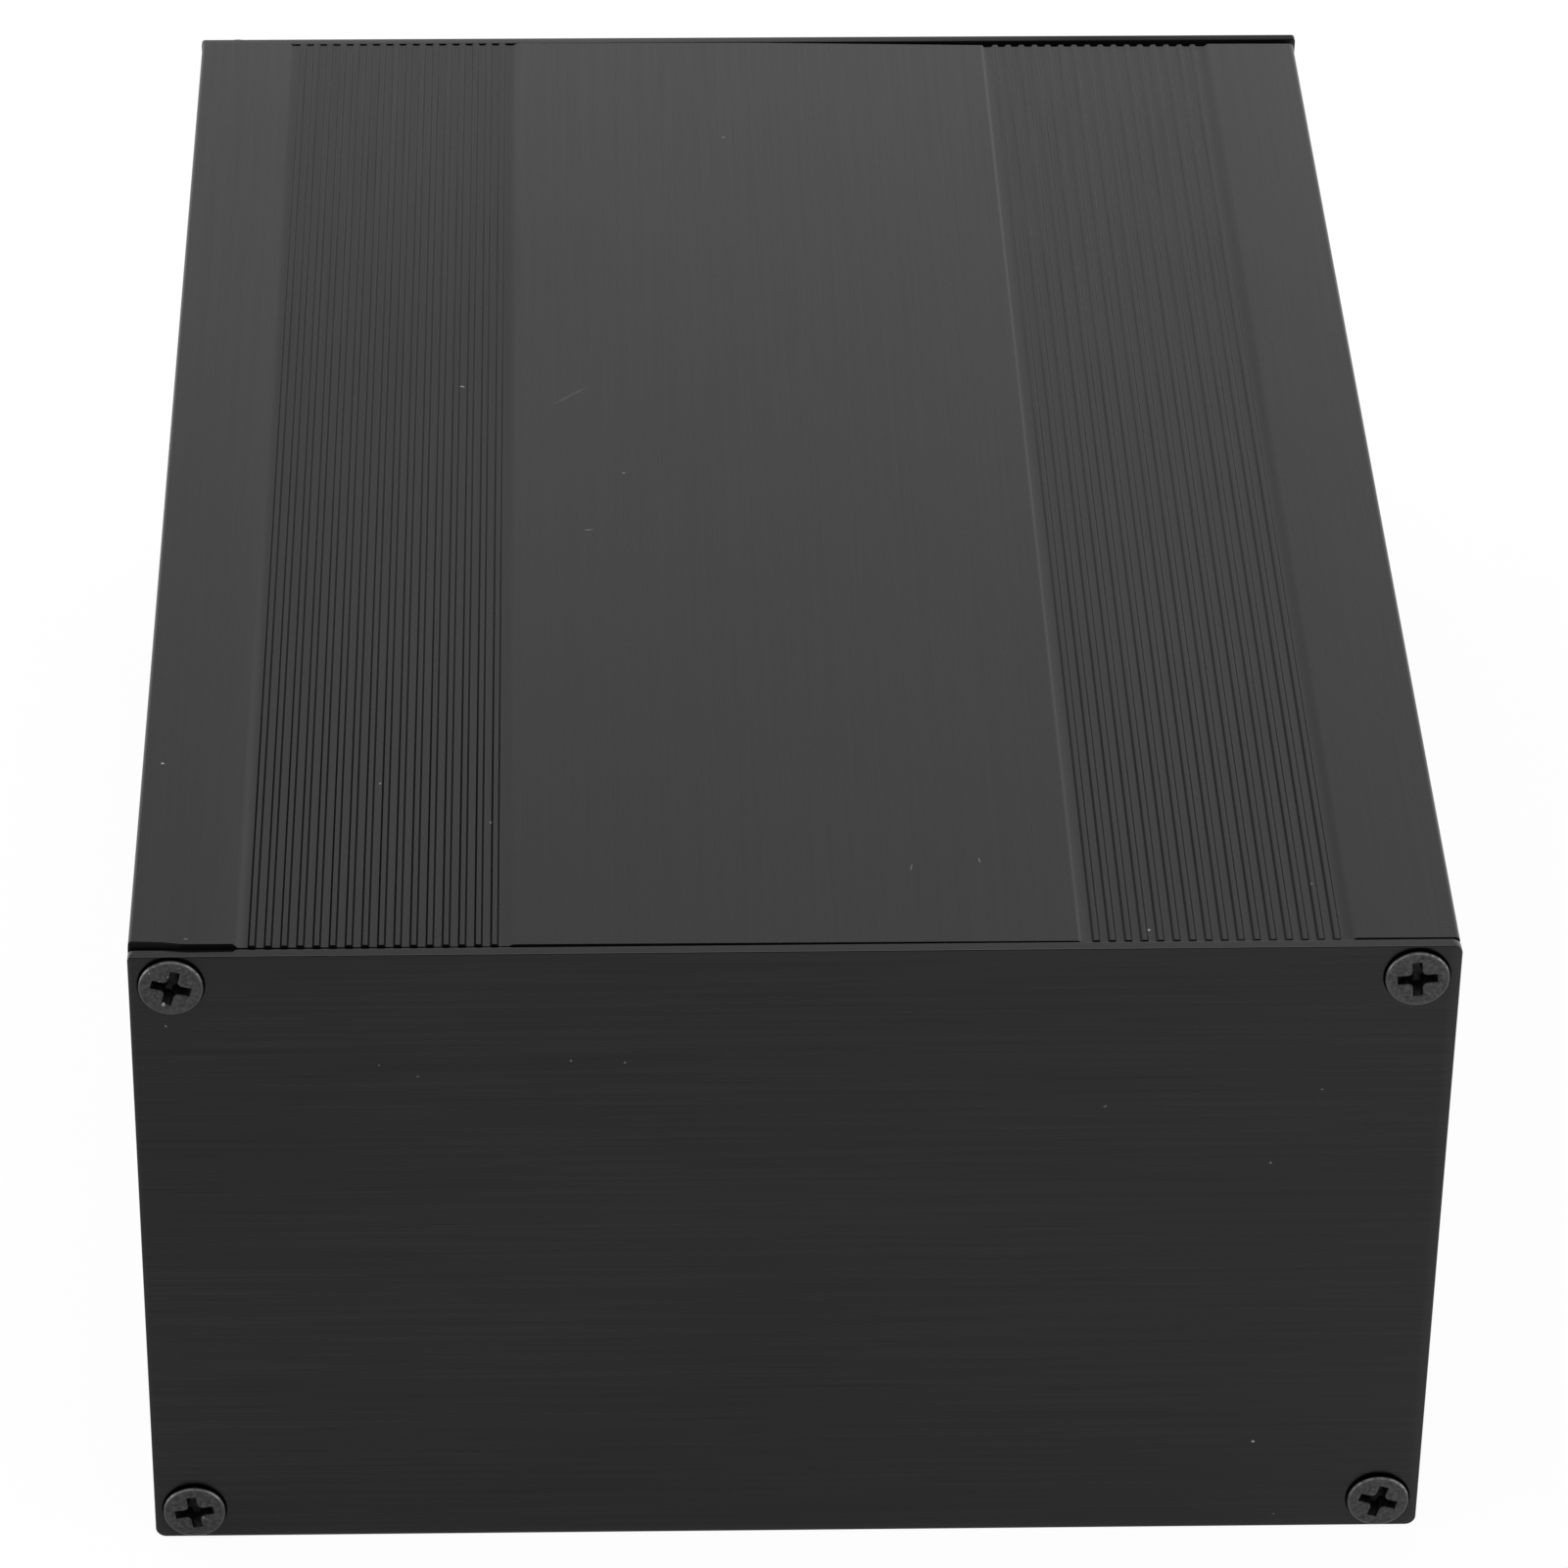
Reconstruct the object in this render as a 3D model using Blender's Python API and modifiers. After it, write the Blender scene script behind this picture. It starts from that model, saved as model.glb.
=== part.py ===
"""Split-body aluminium enclosure for an amplifier or instrument board.

Two lengths of one extrusion make the case. The upper one is the lower one turned half a turn
about the long axis, so the tongue on one wall meets the groove on the other. A flat plate closes
each end, held by four countersunk cross-recess screws that bite into open screw ports in the
corners of the extrusion.

X is the width, Y the length with the front plate facing -Y, and Z is up. The origin is under the
middle of the case, on the surface that it stands on. All sizes are in metres.
"""

import math

import bmesh
import bpy

# Overall sizes of the extruded body
WIDTH = 0.145
HEIGHT = 0.082
SHELL_LENGTH = 0.2065
CORNER_RADIUS = 0.0005

# Gap that every pair of touching pieces keeps
FIT_GAP = 0.0003

# Walls of the extrusion
FLAT_WALL = 0.0024
SIDE_WALL = 0.0022

# Levels of the outer faces, measured in from the plain margin beside each corner
CENTRE_DROP = 0.00014
BAND_DROP = 0.00029

# Fine ribs that run the length of the case in sunk bands, each band between two gentle slopes
MARGIN_WIDTH = 0.0114
BAND_SLOPE = 0.0006
BAND_WIDTH = 0.0292
SIDE_BAND_WIDTH = 0.0190
RIB_PITCH = 0.001754
RIB_FOOT = 0.00086
RIB_TOP = 0.00060
RIB_HEIGHT = 0.00020

# Seam between the shells: a bead inside each wall, with a tongue or a groove in its end
SEAM_WALL = 0.0036
SEAM_BEAD_HEIGHT = 0.0050
TONGUE_WIDTH = 0.0010
TONGUE_HEIGHT = 0.0018
TONGUE_CHAMFER = 0.00025
SEAM_CHAMFER = 0.00020

# Card slots along the inner side walls
CARD_SLOT_WIDTH = 0.0020
CARD_SLOT_PITCH = 0.0085
CARD_RIB_THICKNESS = 0.0012
CARD_RIB_REACH = 0.0020
CARD_SLOT_CLEARANCE = 0.0015

# Screw ports: open tubes in the corners of the extrusion
PORT_WALL = 0.0013
PORT_SLOT = 0.0014

# End plates
PANEL_THICKNESS = 0.0013
PANEL_CORNER_RADIUS = 0.0012
PANEL_TOP_INSET = 0.00025
PANEL_SIDE_INSET = 0.00005

# Countersunk screws, with a cross recess
SHANK_RADIUS = 0.00165
SCREW_LENGTH = 0.0120
SCREW_TIP_LENGTH = 0.0018
SCREW_TIP_RADIUS = 0.0005
HEAD_RADIUS = 0.00355
HEAD_LAND = 0.00030
HEAD_ROUND = 0.00018
HEAD_CONE_ANGLE = 90.0
HEAD_PROUD = 0.00070
RECESS_REACH = 0.0022
RECESS_HALF_WIDTH = 0.00054
RECESS_CORNER = 0.00055
RECESS_DEPTH = 0.0018
RECESS_TAPER = 0.62
RECESS_RUNOUT = 0.0003

# Countersunk holes: the gap round a head's cone, and the metal left to the edges of the plate
COUNTERSINK_GAP = 0.0004
HOLE_EDGE_WEB = 0.00013
HOLE_SIDE_WEB = 0.00088

# Turn of each screw's recess, in degrees, clockwise as its head is seen
FRONT_TURNS = {"top_left": 15.0, "top_right": -4.0, "bottom_left": -9.0, "bottom_right": 16.5}
REAR_TURNS = {"top_left": 31.0, "top_right": -12.0, "bottom_left": 7.0, "bottom_right": -27.0}

# Fineness of round shapes
CORNER_STEPS = 4
PORT_STEP_ANGLE = 15.0
PORT_LIP_STEPS = 2
TURN_STEPS = 32
HEAD_ROUND_STEPS = 2
RECESS_STEPS = 3
SMOOTH_ANGLE = 35.0
CUT_OVERSHOOT = 0.0005
MERGE_DISTANCE = 0.000001

COLLECTION_NAME = "amplifier_chassis"
CUTTER_COLLECTION_NAME = "cutters"

BLACK_EXTRUSION = ("black_anodised_extrusion", (0.035, 0.035, 0.036), 0.38, 0.85)
BLACK_PLATE = ("black_anodised_plate", (0.028, 0.028, 0.029), 0.42, 0.85)
BLACK_SCREW = ("black_oxide_screw", (0.045, 0.045, 0.046), 0.45, 0.80)


def cone_slope():
    """Radius that the countersink loses for each unit of depth."""
    return math.tan(math.radians(HEAD_CONE_ANGLE / 2.0))


def countersink_radius():
    """Radius of a countersunk hole at the plate's face, a gap away from the screw's cone."""
    head_at_face = HEAD_RADIUS - (HEAD_PROUD - HEAD_LAND) * cone_slope()
    return head_at_face + COUNTERSINK_GAP / math.cos(math.radians(HEAD_CONE_ANGLE / 2.0))


def clearance_radius():
    """Radius of the holes and ports that a screw's shank runs in."""
    return SHANK_RADIUS + FIT_GAP


def screw_side_inset():
    """Distance of the screw axes from the sides of the case."""
    return PANEL_SIDE_INSET + HOLE_SIDE_WEB + countersink_radius()


def screw_flat_inset():
    """Distance of the screw axes from the top and the bottom of the case."""
    return PANEL_TOP_INSET + HOLE_EDGE_WEB + countersink_radius()


def seam_height():
    """Height of the lower shell's wall ends."""
    return HEIGHT / 2.0 - FIT_GAP / 2.0


def plate_face():
    """Distance of each plate's outer face from the middle of the case."""
    return SHELL_LENGTH / 2.0 + FIT_GAP + PANEL_THICKNESS


def arc(centre, radius, start, end, steps):
    """Points on a circle from one angle to another, in degrees."""
    points = []
    for step in range(steps + 1):
        angle = math.radians(start + (end - start) * step / steps)
        points.append((centre[0] + radius * math.cos(angle), centre[1] + radius * math.sin(angle)))
    return points


def ribbed_band(start, width):
    """A sunk band of ribs, as distances along the face and depths below it."""
    count = int(width / RIB_PITCH)
    first = start + (width - (count - 1) * RIB_PITCH) / 2.0
    crest = BAND_DROP - RIB_HEIGHT
    points = [(start, BAND_DROP)]
    for index in range(count):
        middle = first + index * RIB_PITCH
        points.append((middle - RIB_FOOT / 2.0, BAND_DROP))
        points.append((middle - RIB_TOP / 2.0, crest))
        points.append((middle + RIB_TOP / 2.0, crest))
        points.append((middle + RIB_FOOT / 2.0, BAND_DROP))
    points.append((start + width, BAND_DROP))
    return points


def flat_face_points():
    """Half of the broad outer face, from near the middle plane to the corner."""
    band_start = WIDTH / 2.0 - MARGIN_WIDTH - BAND_SLOPE - BAND_WIDTH
    points = [(band_start - BAND_SLOPE, CENTRE_DROP)]
    points += ribbed_band(band_start, BAND_WIDTH)
    points.append((band_start + BAND_WIDTH + BAND_SLOPE, 0.0))
    return points


def side_face_points():
    """The outer side wall, from the corner up to the seam."""
    band_start = (CORNER_RADIUS + seam_height() - SIDE_BAND_WIDTH) / 2.0
    band_end = band_start + SIDE_BAND_WIDTH
    band = ribbed_band(band_start, SIDE_BAND_WIDTH)
    outline = [(band_start - BAND_SLOPE, 0.0)] + band + [(band_end + BAND_SLOPE, 0.0)]
    return [(WIDTH / 2.0 - depth, along) for along, depth in outline]


def seam_tongue_points():
    """Wall end with a standing tongue, from the outer side inwards."""
    end = seam_height()
    tip = end + TONGUE_HEIGHT
    middle = (WIDTH - SEAM_WALL) / 2.0
    half = TONGUE_WIDTH / 2.0
    return [
        (middle + half, end),
        (middle + half, tip - TONGUE_CHAMFER),
        (middle + half - TONGUE_CHAMFER, tip),
        (middle - half + TONGUE_CHAMFER, tip),
        (middle - half, tip - TONGUE_CHAMFER),
        (middle - half, end),
    ]


def seam_groove_points():
    """Wall end with the groove that the tongue enters, from the outer side inwards."""
    end = seam_height()
    floor = end - TONGUE_HEIGHT
    middle = (WIDTH - SEAM_WALL) / 2.0
    half = TONGUE_WIDTH / 2.0 + FIT_GAP
    return [(middle + half, end), (middle + half, floor), (middle - half, floor), (middle - half, end)]


def seam_points(joint_points):
    """The whole wall end: lands, joint, and the bead that carries it inside the wall."""
    end = seam_height()
    bead_foot = end - SEAM_BEAD_HEIGHT
    outer = WIDTH / 2.0
    return (
        [(outer, end - SEAM_CHAMFER), (outer - SEAM_CHAMFER, end)]
        + joint_points
        + [
            (outer - SEAM_WALL, end),
            (outer - SEAM_WALL, bead_foot),
            (outer - SIDE_WALL, bead_foot - (SEAM_WALL - SIDE_WALL)),
        ]
    )


def card_slot_points():
    """Pairs of ribs down the inner side wall, from the seam towards the screw port."""
    wall = WIDTH / 2.0 - SIDE_WALL
    half_slot = CARD_SLOT_WIDTH / 2.0
    port_top = screw_flat_inset() + clearance_radius() + PORT_WALL
    bead_foot = seam_height() - SEAM_BEAD_HEIGHT - (SEAM_WALL - SIDE_WALL)
    lowest = port_top + CARD_SLOT_CLEARANCE + CARD_RIB_THICKNESS + half_slot
    highest = bead_foot - CARD_SLOT_CLEARANCE - CARD_RIB_THICKNESS - half_slot
    count = math.floor((highest - lowest) / CARD_SLOT_PITCH) + 1
    points = []
    for index in reversed(range(count)):
        middle = lowest + index * CARD_SLOT_PITCH
        for rib_top in (middle + half_slot + CARD_RIB_THICKNESS, middle - half_slot):
            points.append((wall, rib_top))
            points.append((wall - CARD_RIB_REACH, rib_top))
            points.append((wall - CARD_RIB_REACH, rib_top - CARD_RIB_THICKNESS))
            points.append((wall, rib_top - CARD_RIB_THICKNESS))
    return points


def screw_port_points():
    """The screw port from the side wall round its bore to the flat wall, open towards the inside."""
    centre = (WIDTH / 2.0 - screw_side_inset(), screw_flat_inset())
    bore = clearance_radius()
    outer = bore + PORT_WALL
    mouth = 135.0
    outer_half_slot = math.degrees(math.asin(PORT_SLOT / 2.0 / outer))
    bore_half_slot = math.degrees(math.asin(PORT_SLOT / 2.0 / bore))
    bore_steps = round((360.0 - 2.0 * bore_half_slot) / PORT_STEP_ANGLE)
    points = [(WIDTH / 2.0 - SIDE_WALL, centre[1] + outer)]
    points += arc(centre, outer, 90.0, mouth - outer_half_slot, PORT_LIP_STEPS)
    points += arc(centre, bore, mouth - bore_half_slot, mouth + bore_half_slot - 360.0, bore_steps)
    points += arc(centre, outer, mouth + outer_half_slot, 180.0, PORT_LIP_STEPS)
    points.append((centre[0] - outer, FLAT_WALL))
    return points


def half_section(joint_points):
    """Right half of the lower shell's section, from the outer face round to the inner one."""
    corner = (WIDTH / 2.0 - CORNER_RADIUS, CORNER_RADIUS)
    return (
        flat_face_points()
        + arc(corner, CORNER_RADIUS, -90.0, 0.0, CORNER_STEPS)
        + side_face_points()
        + seam_points(joint_points)
        + card_slot_points()
        + screw_port_points()
    )


def shell_section():
    """Whole section of the extrusion: the groove on its right wall, the tongue on its left."""
    right = half_section(seam_groove_points())
    left = [(-x, z) for x, z in reversed(half_section(seam_tongue_points()))]
    return right + left


def panel_outline():
    """Outline of an end plate, centred on the middle of the case's height."""
    half_width = WIDTH / 2.0 - PANEL_SIDE_INSET
    half_height = HEIGHT / 2.0 - PANEL_TOP_INSET
    x = half_width - PANEL_CORNER_RADIUS
    z = half_height - PANEL_CORNER_RADIUS
    points = []
    for quarter, centre in enumerate(((x, z), (-x, z), (-x, -z), (x, -z))):
        start = 90.0 * quarter
        points += arc(centre, PANEL_CORNER_RADIUS, start, start + 90.0, CORNER_STEPS)
    return points


def clear_scene():
    """Remove the objects of the scene that the script is run in."""
    for obj in list(bpy.data.objects):
        bpy.data.objects.remove(obj, do_unlink=True)


def new_collection(name):
    """Make a collection and link it to the scene."""
    collection = bpy.data.collections.new(name)
    bpy.context.scene.collection.children.link(collection)
    return collection


def new_material(name, colour, roughness, metallic):
    """Make a material from one Principled shader."""
    material = bpy.data.materials.new(name)
    material.use_nodes = True
    shader = material.node_tree.nodes["Principled BSDF"]
    shader.inputs["Base Color"].default_value = (*colour, 1.0)
    shader.inputs["Roughness"].default_value = roughness
    shader.inputs["Metallic"].default_value = metallic
    return material


def outline_curve(name, points, thickness):
    """A flat outline in a curve's own XY plane, thickened evenly to both sides."""
    curve = bpy.data.curves.new(name, "CURVE")
    curve.dimensions = "2D"
    curve.fill_mode = "BOTH"
    curve.extrude = thickness / 2.0
    spline = curve.splines.new("POLY")
    spline.points.add(len(points) - 1)
    for point, (x, y) in zip(spline.points, points):
        point.co = (x, y, 0.0, 1.0)
    spline.use_cyclic_u = True
    return curve


def evaluated_mesh(obj, name):
    """Copy an object's shape, modifiers included, into a mesh of its own and remove the object."""
    graph = bpy.context.evaluated_depsgraph_get()
    mesh = bpy.data.meshes.new_from_object(obj.evaluated_get(graph))
    mesh.name = name
    bpy.data.objects.remove(obj, do_unlink=True)
    return mesh


def weld(mesh):
    """Join the loose caps of a converted outline to its sides."""
    shape = bmesh.new()
    shape.from_mesh(mesh)
    bmesh.ops.remove_doubles(shape, verts=shape.verts, dist=MERGE_DISTANCE)
    bmesh.ops.recalc_face_normals(shape, faces=shape.faces)
    shape.to_mesh(mesh)
    shape.free()


def turned_object(name, profile, collection):
    """A turned solid about Z, from a profile that runs from its top to its bottom at +X."""
    mesh = bpy.data.meshes.new(name)
    vertices = [(radius, 0.0, height) for radius, height in profile]
    edges = [(index, index + 1) for index in range(len(profile) - 1)]
    mesh.from_pydata(vertices, edges, [])
    obj = bpy.data.objects.new(name, mesh)
    collection.objects.link(obj)
    screw = obj.modifiers.new("Turn", "SCREW")
    screw.steps = TURN_STEPS
    screw.render_steps = TURN_STEPS
    screw.use_merge_vertices = True
    screw.merge_threshold = MERGE_DISTANCE
    return obj


def shade_round(mesh):
    """Shade the round faces smooth and keep the true edges sharp."""
    mesh.shade_smooth()
    mesh.set_sharp_from_angle(angle=math.radians(SMOOTH_ANGLE))


def make_cutter(obj):
    """Show a cutter as a wire frame and keep it out of renders."""
    obj.display_type = "WIRE"
    obj.hide_render = True
    return obj


def subtract(obj, cutter):
    """Cut one object out of another."""
    boolean = obj.modifiers.new("Cut " + cutter.name, "BOOLEAN")
    boolean.operation = "DIFFERENCE"
    boolean.solver = "EXACT"
    boolean.object = cutter


def recess_ring(scale):
    """Outline of the cross recess, drawn in by a scale towards the screw's axis."""
    reach = RECESS_REACH * scale
    half = RECESS_HALF_WIDTH * (1.0 + scale) / 2.0
    corner = RECESS_CORNER * scale
    centre = (half + corner, half + corner)
    quadrant = [(reach, half)] + arc(centre, corner, 270.0, 180.0, RECESS_STEPS) + [(half, reach)]
    points = []
    for quarter in range(4):
        turn = math.radians(90.0 * quarter)
        cos, sin = round(math.cos(turn)), round(math.sin(turn))
        points += [(x * cos - y * sin, x * sin + y * cos) for x, y in quadrant]
    return points


def recess_cutter(collection):
    """The driver's cross, tapered from above the head down to the recess floor."""
    runout_scale = 1.0 + (1.0 - RECESS_TAPER) * RECESS_RUNOUT / RECESS_DEPTH
    levels = [(RECESS_RUNOUT, runout_scale), (-RECESS_DEPTH, RECESS_TAPER)]
    shape = bmesh.new()
    rings = []
    for height, scale in levels:
        rings.append([shape.verts.new((x, y, height)) for x, y in recess_ring(scale)])
    count = len(rings[0])
    for index in range(count):
        after = (index + 1) % count
        shape.faces.new((rings[0][index], rings[1][index], rings[1][after], rings[0][after]))
    shape.faces.new(rings[0])
    shape.faces.new(list(reversed(rings[1])))
    bmesh.ops.recalc_face_normals(shape, faces=shape.faces)
    mesh = bpy.data.meshes.new("recess_cutter")
    shape.to_mesh(mesh)
    shape.free()
    obj = bpy.data.objects.new("recess_cutter", mesh)
    collection.objects.link(obj)
    return make_cutter(obj)


def screw_profile():
    """Profile of a countersunk screw, from the middle of its head's face down to its tip."""
    rim = arc((HEAD_RADIUS - HEAD_ROUND, -HEAD_ROUND), HEAD_ROUND, 90.0, 0.0, HEAD_ROUND_STEPS)
    cone_height = (HEAD_RADIUS - SHANK_RADIUS) / cone_slope()
    return (
        [(0.0, 0.0)]
        + rim
        + [
            (HEAD_RADIUS, -HEAD_LAND),
            (SHANK_RADIUS, -HEAD_LAND - cone_height),
            (SHANK_RADIUS, SCREW_TIP_LENGTH - SCREW_LENGTH),
            (SCREW_TIP_RADIUS, -SCREW_LENGTH),
            (0.0, -SCREW_LENGTH),
        ]
    )


def screw_mesh(cutters):
    """One screw, head up, with the middle of its head's face at the origin."""
    blank = turned_object("screw_blank", screw_profile(), cutters)
    recess = recess_cutter(cutters)
    subtract(blank, recess)
    mesh = evaluated_mesh(blank, "countersunk_screw")
    bpy.data.objects.remove(recess, do_unlink=True)
    shade_round(mesh)
    return mesh


def countersink_cutter(name, collection):
    """Countersink and clearance hole together, with the plate's outer face at height zero."""
    face_radius = countersink_radius()
    bore = clearance_radius()
    cone_depth = (face_radius - bore) / cone_slope()
    top_radius = face_radius + CUT_OVERSHOOT * cone_slope()
    bottom = max(PANEL_THICKNESS, cone_depth) + CUT_OVERSHOOT
    profile = [
        (0.0, CUT_OVERSHOOT),
        (top_radius, CUT_OVERSHOOT),
        (bore, -cone_depth),
        (bore, -bottom),
        (0.0, -bottom),
    ]
    return make_cutter(turned_object(name, profile, collection))


def screw_places():
    """Name and place of each screw of a plate, across the case and up it."""
    x = WIDTH / 2.0 - screw_side_inset()
    low = screw_flat_inset()
    high = HEIGHT - low
    return {
        "top_left": (-x, high),
        "top_right": (x, high),
        "bottom_left": (-x, low),
        "bottom_right": (x, low),
    }


def add_shell(name, turn, height, mesh, material, collection):
    """One length of the extrusion, turned about the case's long axis."""
    obj = bpy.data.objects.new(name, mesh)
    obj.rotation_euler = (math.radians(90.0), math.radians(turn), 0.0)
    obj.location = (0.0, 0.0, height)
    obj.data.materials.clear()
    obj.data.materials.append(material)
    collection.objects.link(obj)
    return obj


def add_panel(name, side, material, collection, cutters):
    """One end plate with its four countersunk holes. Side is -1 for the front and 1 for the rear."""
    middle = side * (plate_face() - PANEL_THICKNESS / 2.0)
    curve = outline_curve(name, panel_outline(), PANEL_THICKNESS)
    outline = bpy.data.objects.new(name + "_outline", curve)
    collection.objects.link(outline)
    mesh = evaluated_mesh(outline, name)
    weld(mesh)
    mesh.materials.append(material)
    obj = bpy.data.objects.new(name, mesh)
    obj.rotation_euler = (math.radians(90.0), 0.0, 0.0)
    obj.location = (0.0, middle, HEIGHT / 2.0)
    collection.objects.link(obj)
    for place, (x, z) in screw_places().items():
        cutter = countersink_cutter(name + "_hole_" + place, cutters)
        cutter.rotation_euler = (math.radians(-90.0 * side), 0.0, 0.0)
        cutter.location = (x, side * plate_face(), z)
        subtract(obj, cutter)
    return obj


def add_screws(end, side, turns, mesh, collection):
    """The four screws of one plate, heads out, each with its recess turned its own way."""
    for place, (x, z) in screw_places().items():
        obj = bpy.data.objects.new(end + "_screw_" + place, mesh)
        turn = -side * turns[place]
        obj.rotation_euler = (math.radians(-90.0 * side), math.radians(turn), 0.0)
        obj.location = (x, side * (plate_face() + HEAD_PROUD), z)
        collection.objects.link(obj)


def build():
    """Make the whole enclosure."""
    clear_scene()
    parts = new_collection(COLLECTION_NAME)
    cutters = new_collection(CUTTER_COLLECTION_NAME)
    extrusion_black = new_material(*BLACK_EXTRUSION)
    plate_black = new_material(*BLACK_PLATE)
    screw_black = new_material(*BLACK_SCREW)

    section = outline_curve("extrusion", shell_section(), SHELL_LENGTH)
    add_shell("lower_shell", 0.0, 0.0, section, extrusion_black, parts)
    add_shell("upper_shell", 180.0, HEIGHT, section, extrusion_black, parts)

    add_panel("front_panel", -1, plate_black, parts, cutters)
    add_panel("rear_panel", 1, plate_black, parts, cutters)

    screw = screw_mesh(cutters)
    screw.materials.append(screw_black)
    add_screws("front", -1, FRONT_TURNS, screw, parts)
    add_screws("rear", 1, REAR_TURNS, screw, parts)


build()
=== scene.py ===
"""Looks of the split-body aluminium enclosure.

Every CAD node has a finer piece that stands for it, in the same place: the two shells with rounded
edges, the end plates with smooth countersinks, and the screws with rounded heads and threads.
X is the width, Y the length with the front plate facing -Y, and Z is up. Sizes are in metres.
"""

import math

import bmesh
import bpy
from mathutils import Euler, Matrix, Vector


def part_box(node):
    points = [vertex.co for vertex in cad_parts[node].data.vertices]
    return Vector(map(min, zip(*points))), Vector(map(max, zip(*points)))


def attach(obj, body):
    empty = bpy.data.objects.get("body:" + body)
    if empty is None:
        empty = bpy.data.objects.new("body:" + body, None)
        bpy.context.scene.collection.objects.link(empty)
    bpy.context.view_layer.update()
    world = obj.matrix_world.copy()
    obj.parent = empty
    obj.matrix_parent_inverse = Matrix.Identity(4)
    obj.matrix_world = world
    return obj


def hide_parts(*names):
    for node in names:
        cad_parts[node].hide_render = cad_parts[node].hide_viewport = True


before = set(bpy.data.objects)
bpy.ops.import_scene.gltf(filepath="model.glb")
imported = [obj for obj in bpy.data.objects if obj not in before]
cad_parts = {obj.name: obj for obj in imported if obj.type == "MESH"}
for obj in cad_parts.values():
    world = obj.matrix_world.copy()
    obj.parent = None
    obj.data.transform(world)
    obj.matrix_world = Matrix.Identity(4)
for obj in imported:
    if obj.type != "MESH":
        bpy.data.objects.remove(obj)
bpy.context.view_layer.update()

# Camera, fitted to the edges and corners of the case in the photograph
CAMERA_PLACE = (-0.02458, -0.72710, 0.52538)
CAMERA_PITCH = -34.103
CAMERA_TURN = 2.117
CAMERA_ROLL = 0.813
CAMERA_LENS = 161.713
SENSOR_WIDTH = 36.0

# Shells
SHELL_EDGE_ROUND = 0.00006
SHELL_EDGE_STEPS = 2
SHARP_ANGLE = 30.0
FLAT_ANGLE = 0.5
SMOOTH_ANGLE = 50.0
UPPER_SHELL_TILT = 0.055
MERGE_DISTANCE = 0.000001
HAIR = 0.00001
NEAR = 0.0001

# Which faces of a shell are sawn ends, and which lie in its outer skin, where the ribs are
END_SLOPE = 0.45
END_DEPTH = 0.0012
SKIN_DEPTH = 0.0008

# Bands of the top. Their floors lie a little deeper in the photograph, and the ribs' sides spread
# wider. The front left corner stands a little proud
BAND_INNER = 0.0310
BAND_OUTER = 0.0607
BAND_FLOOR = 0.0818
BAND_SINK = 0.00010
FIRST_RIB = 0.032745
RIB_PITCH = 0.001754
RIB_MIDDLE = 0.000365
RIB_SPREAD = 0.00005
CORNER_START = -0.0608
CORNER_DEPTH = 0.001
CORNER_RISE = 0.00016
FLANK_INNER = 0.0314
FLANK_OUTER = 0.0604
FLANK_SLOPE = 0.30

# How far short the upper shell is sawn, by place across it: its front left corner, and its rear end
FRONT_SHORT_TOP = 0.0814
FRONT_SHORT_CUTS = (-0.0702, -0.0688, -0.0673, -0.0662)
FRONT_SHORT = (
    (-0.0725, 0.00060),
    (-0.0702, 0.00048),
    (-0.0688, 0.00040),
    (-0.0673, 0.00012),
    (-0.0662, 0.0),
)
REAR_SHORT_CUTS = (0.0, 0.0310)
REAR_SHORT = ((0.0, 0.0), (0.0310, 0.00085), (0.0725, 0.00090))

# End plates. Each is a little thicker at its back than the CAD's, and its corners are sheared a
# little out of true: their shifts across and up, from the top left round to the bottom left. The
# corners' radii go from the top right round to the bottom right
PLATE_CORNER_STEPS = 12
PLATE_EDGE_ROUND = 0.00015
PLATE_ROUND_STEPS = 4
PLATE_BACKING = 0.00007
HOLE_EDGE_ROUND = 0.00004
HOLE_STEPS = 96
FRONT_SHEAR = ((-0.00004, -0.00012), (0.00022, 0.00017), (0.0, -0.00023), (0.00004, -0.00023))
REAR_SHEAR = ((-0.00045, 0.00021), (0.00016, -0.00004), (0.0, 0.0), (0.0, 0.0))
FRONT_RADII = (0.0011, 0.0006, 0.0012, 0.0012)
REAR_RADII = (0.0004, 0.0004, 0.0012, 0.0012)

# Countersunk screws
HEAD_PROUD = 0.00070
HEAD_LAND = 0.00030
HEAD_ROUND = 0.00026
SHANK_RADIUS = 0.00165
COUNTERSINK_GAP = 0.0004
THREAD_ROOT_RADIUS = 0.00128
THREAD_PITCH = 0.0014
THREAD_CREST = 0.32
SCREW_TIP_LENGTH = 0.0018
SCREW_TIP_RADIUS = 0.0005
RECESS_REACH = 0.0022
RECESS_HALF_WIDTH = 0.00054
RECESS_CORNER = 0.00055
RECESS_DEPTH = 0.0018
RECESS_LEVELS = (1.0, 0.66, 0.33)
RECESS_TIP = 1.12
RECESS_TAPER = 0.62
RECESS_LIP = 0.00007
FACE_RINGS = (0.35, 0.75)
FRONT_TURNS = {"top_left": 15.0, "top_right": -4.0, "bottom_left": -9.0, "bottom_right": 16.5}
REAR_TURNS = {"top_left": 31.0, "top_right": -12.0, "bottom_left": 7.0, "bottom_right": -27.0}
RING_POINTS = 96

# Ranges in what follows are from, to, and the levels there, which are 0 and 1 where none are given.
# Sheen of the shells: its level, how it falls in the bands towards the rear, and where they lie. The fall is
# partly painted shade and partly the finish
SHELL_SHEEN = 0.29
SHEEN_FALL = (-0.03, 0.03, 0.085, 0.042)
SHEEN_LENGTHWISE = (-0.080, 0.020)
BAND_START = (0.0307, 0.0313)
BAND_END = (0.0605, 0.0611, 1.0, 0.0)
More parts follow.
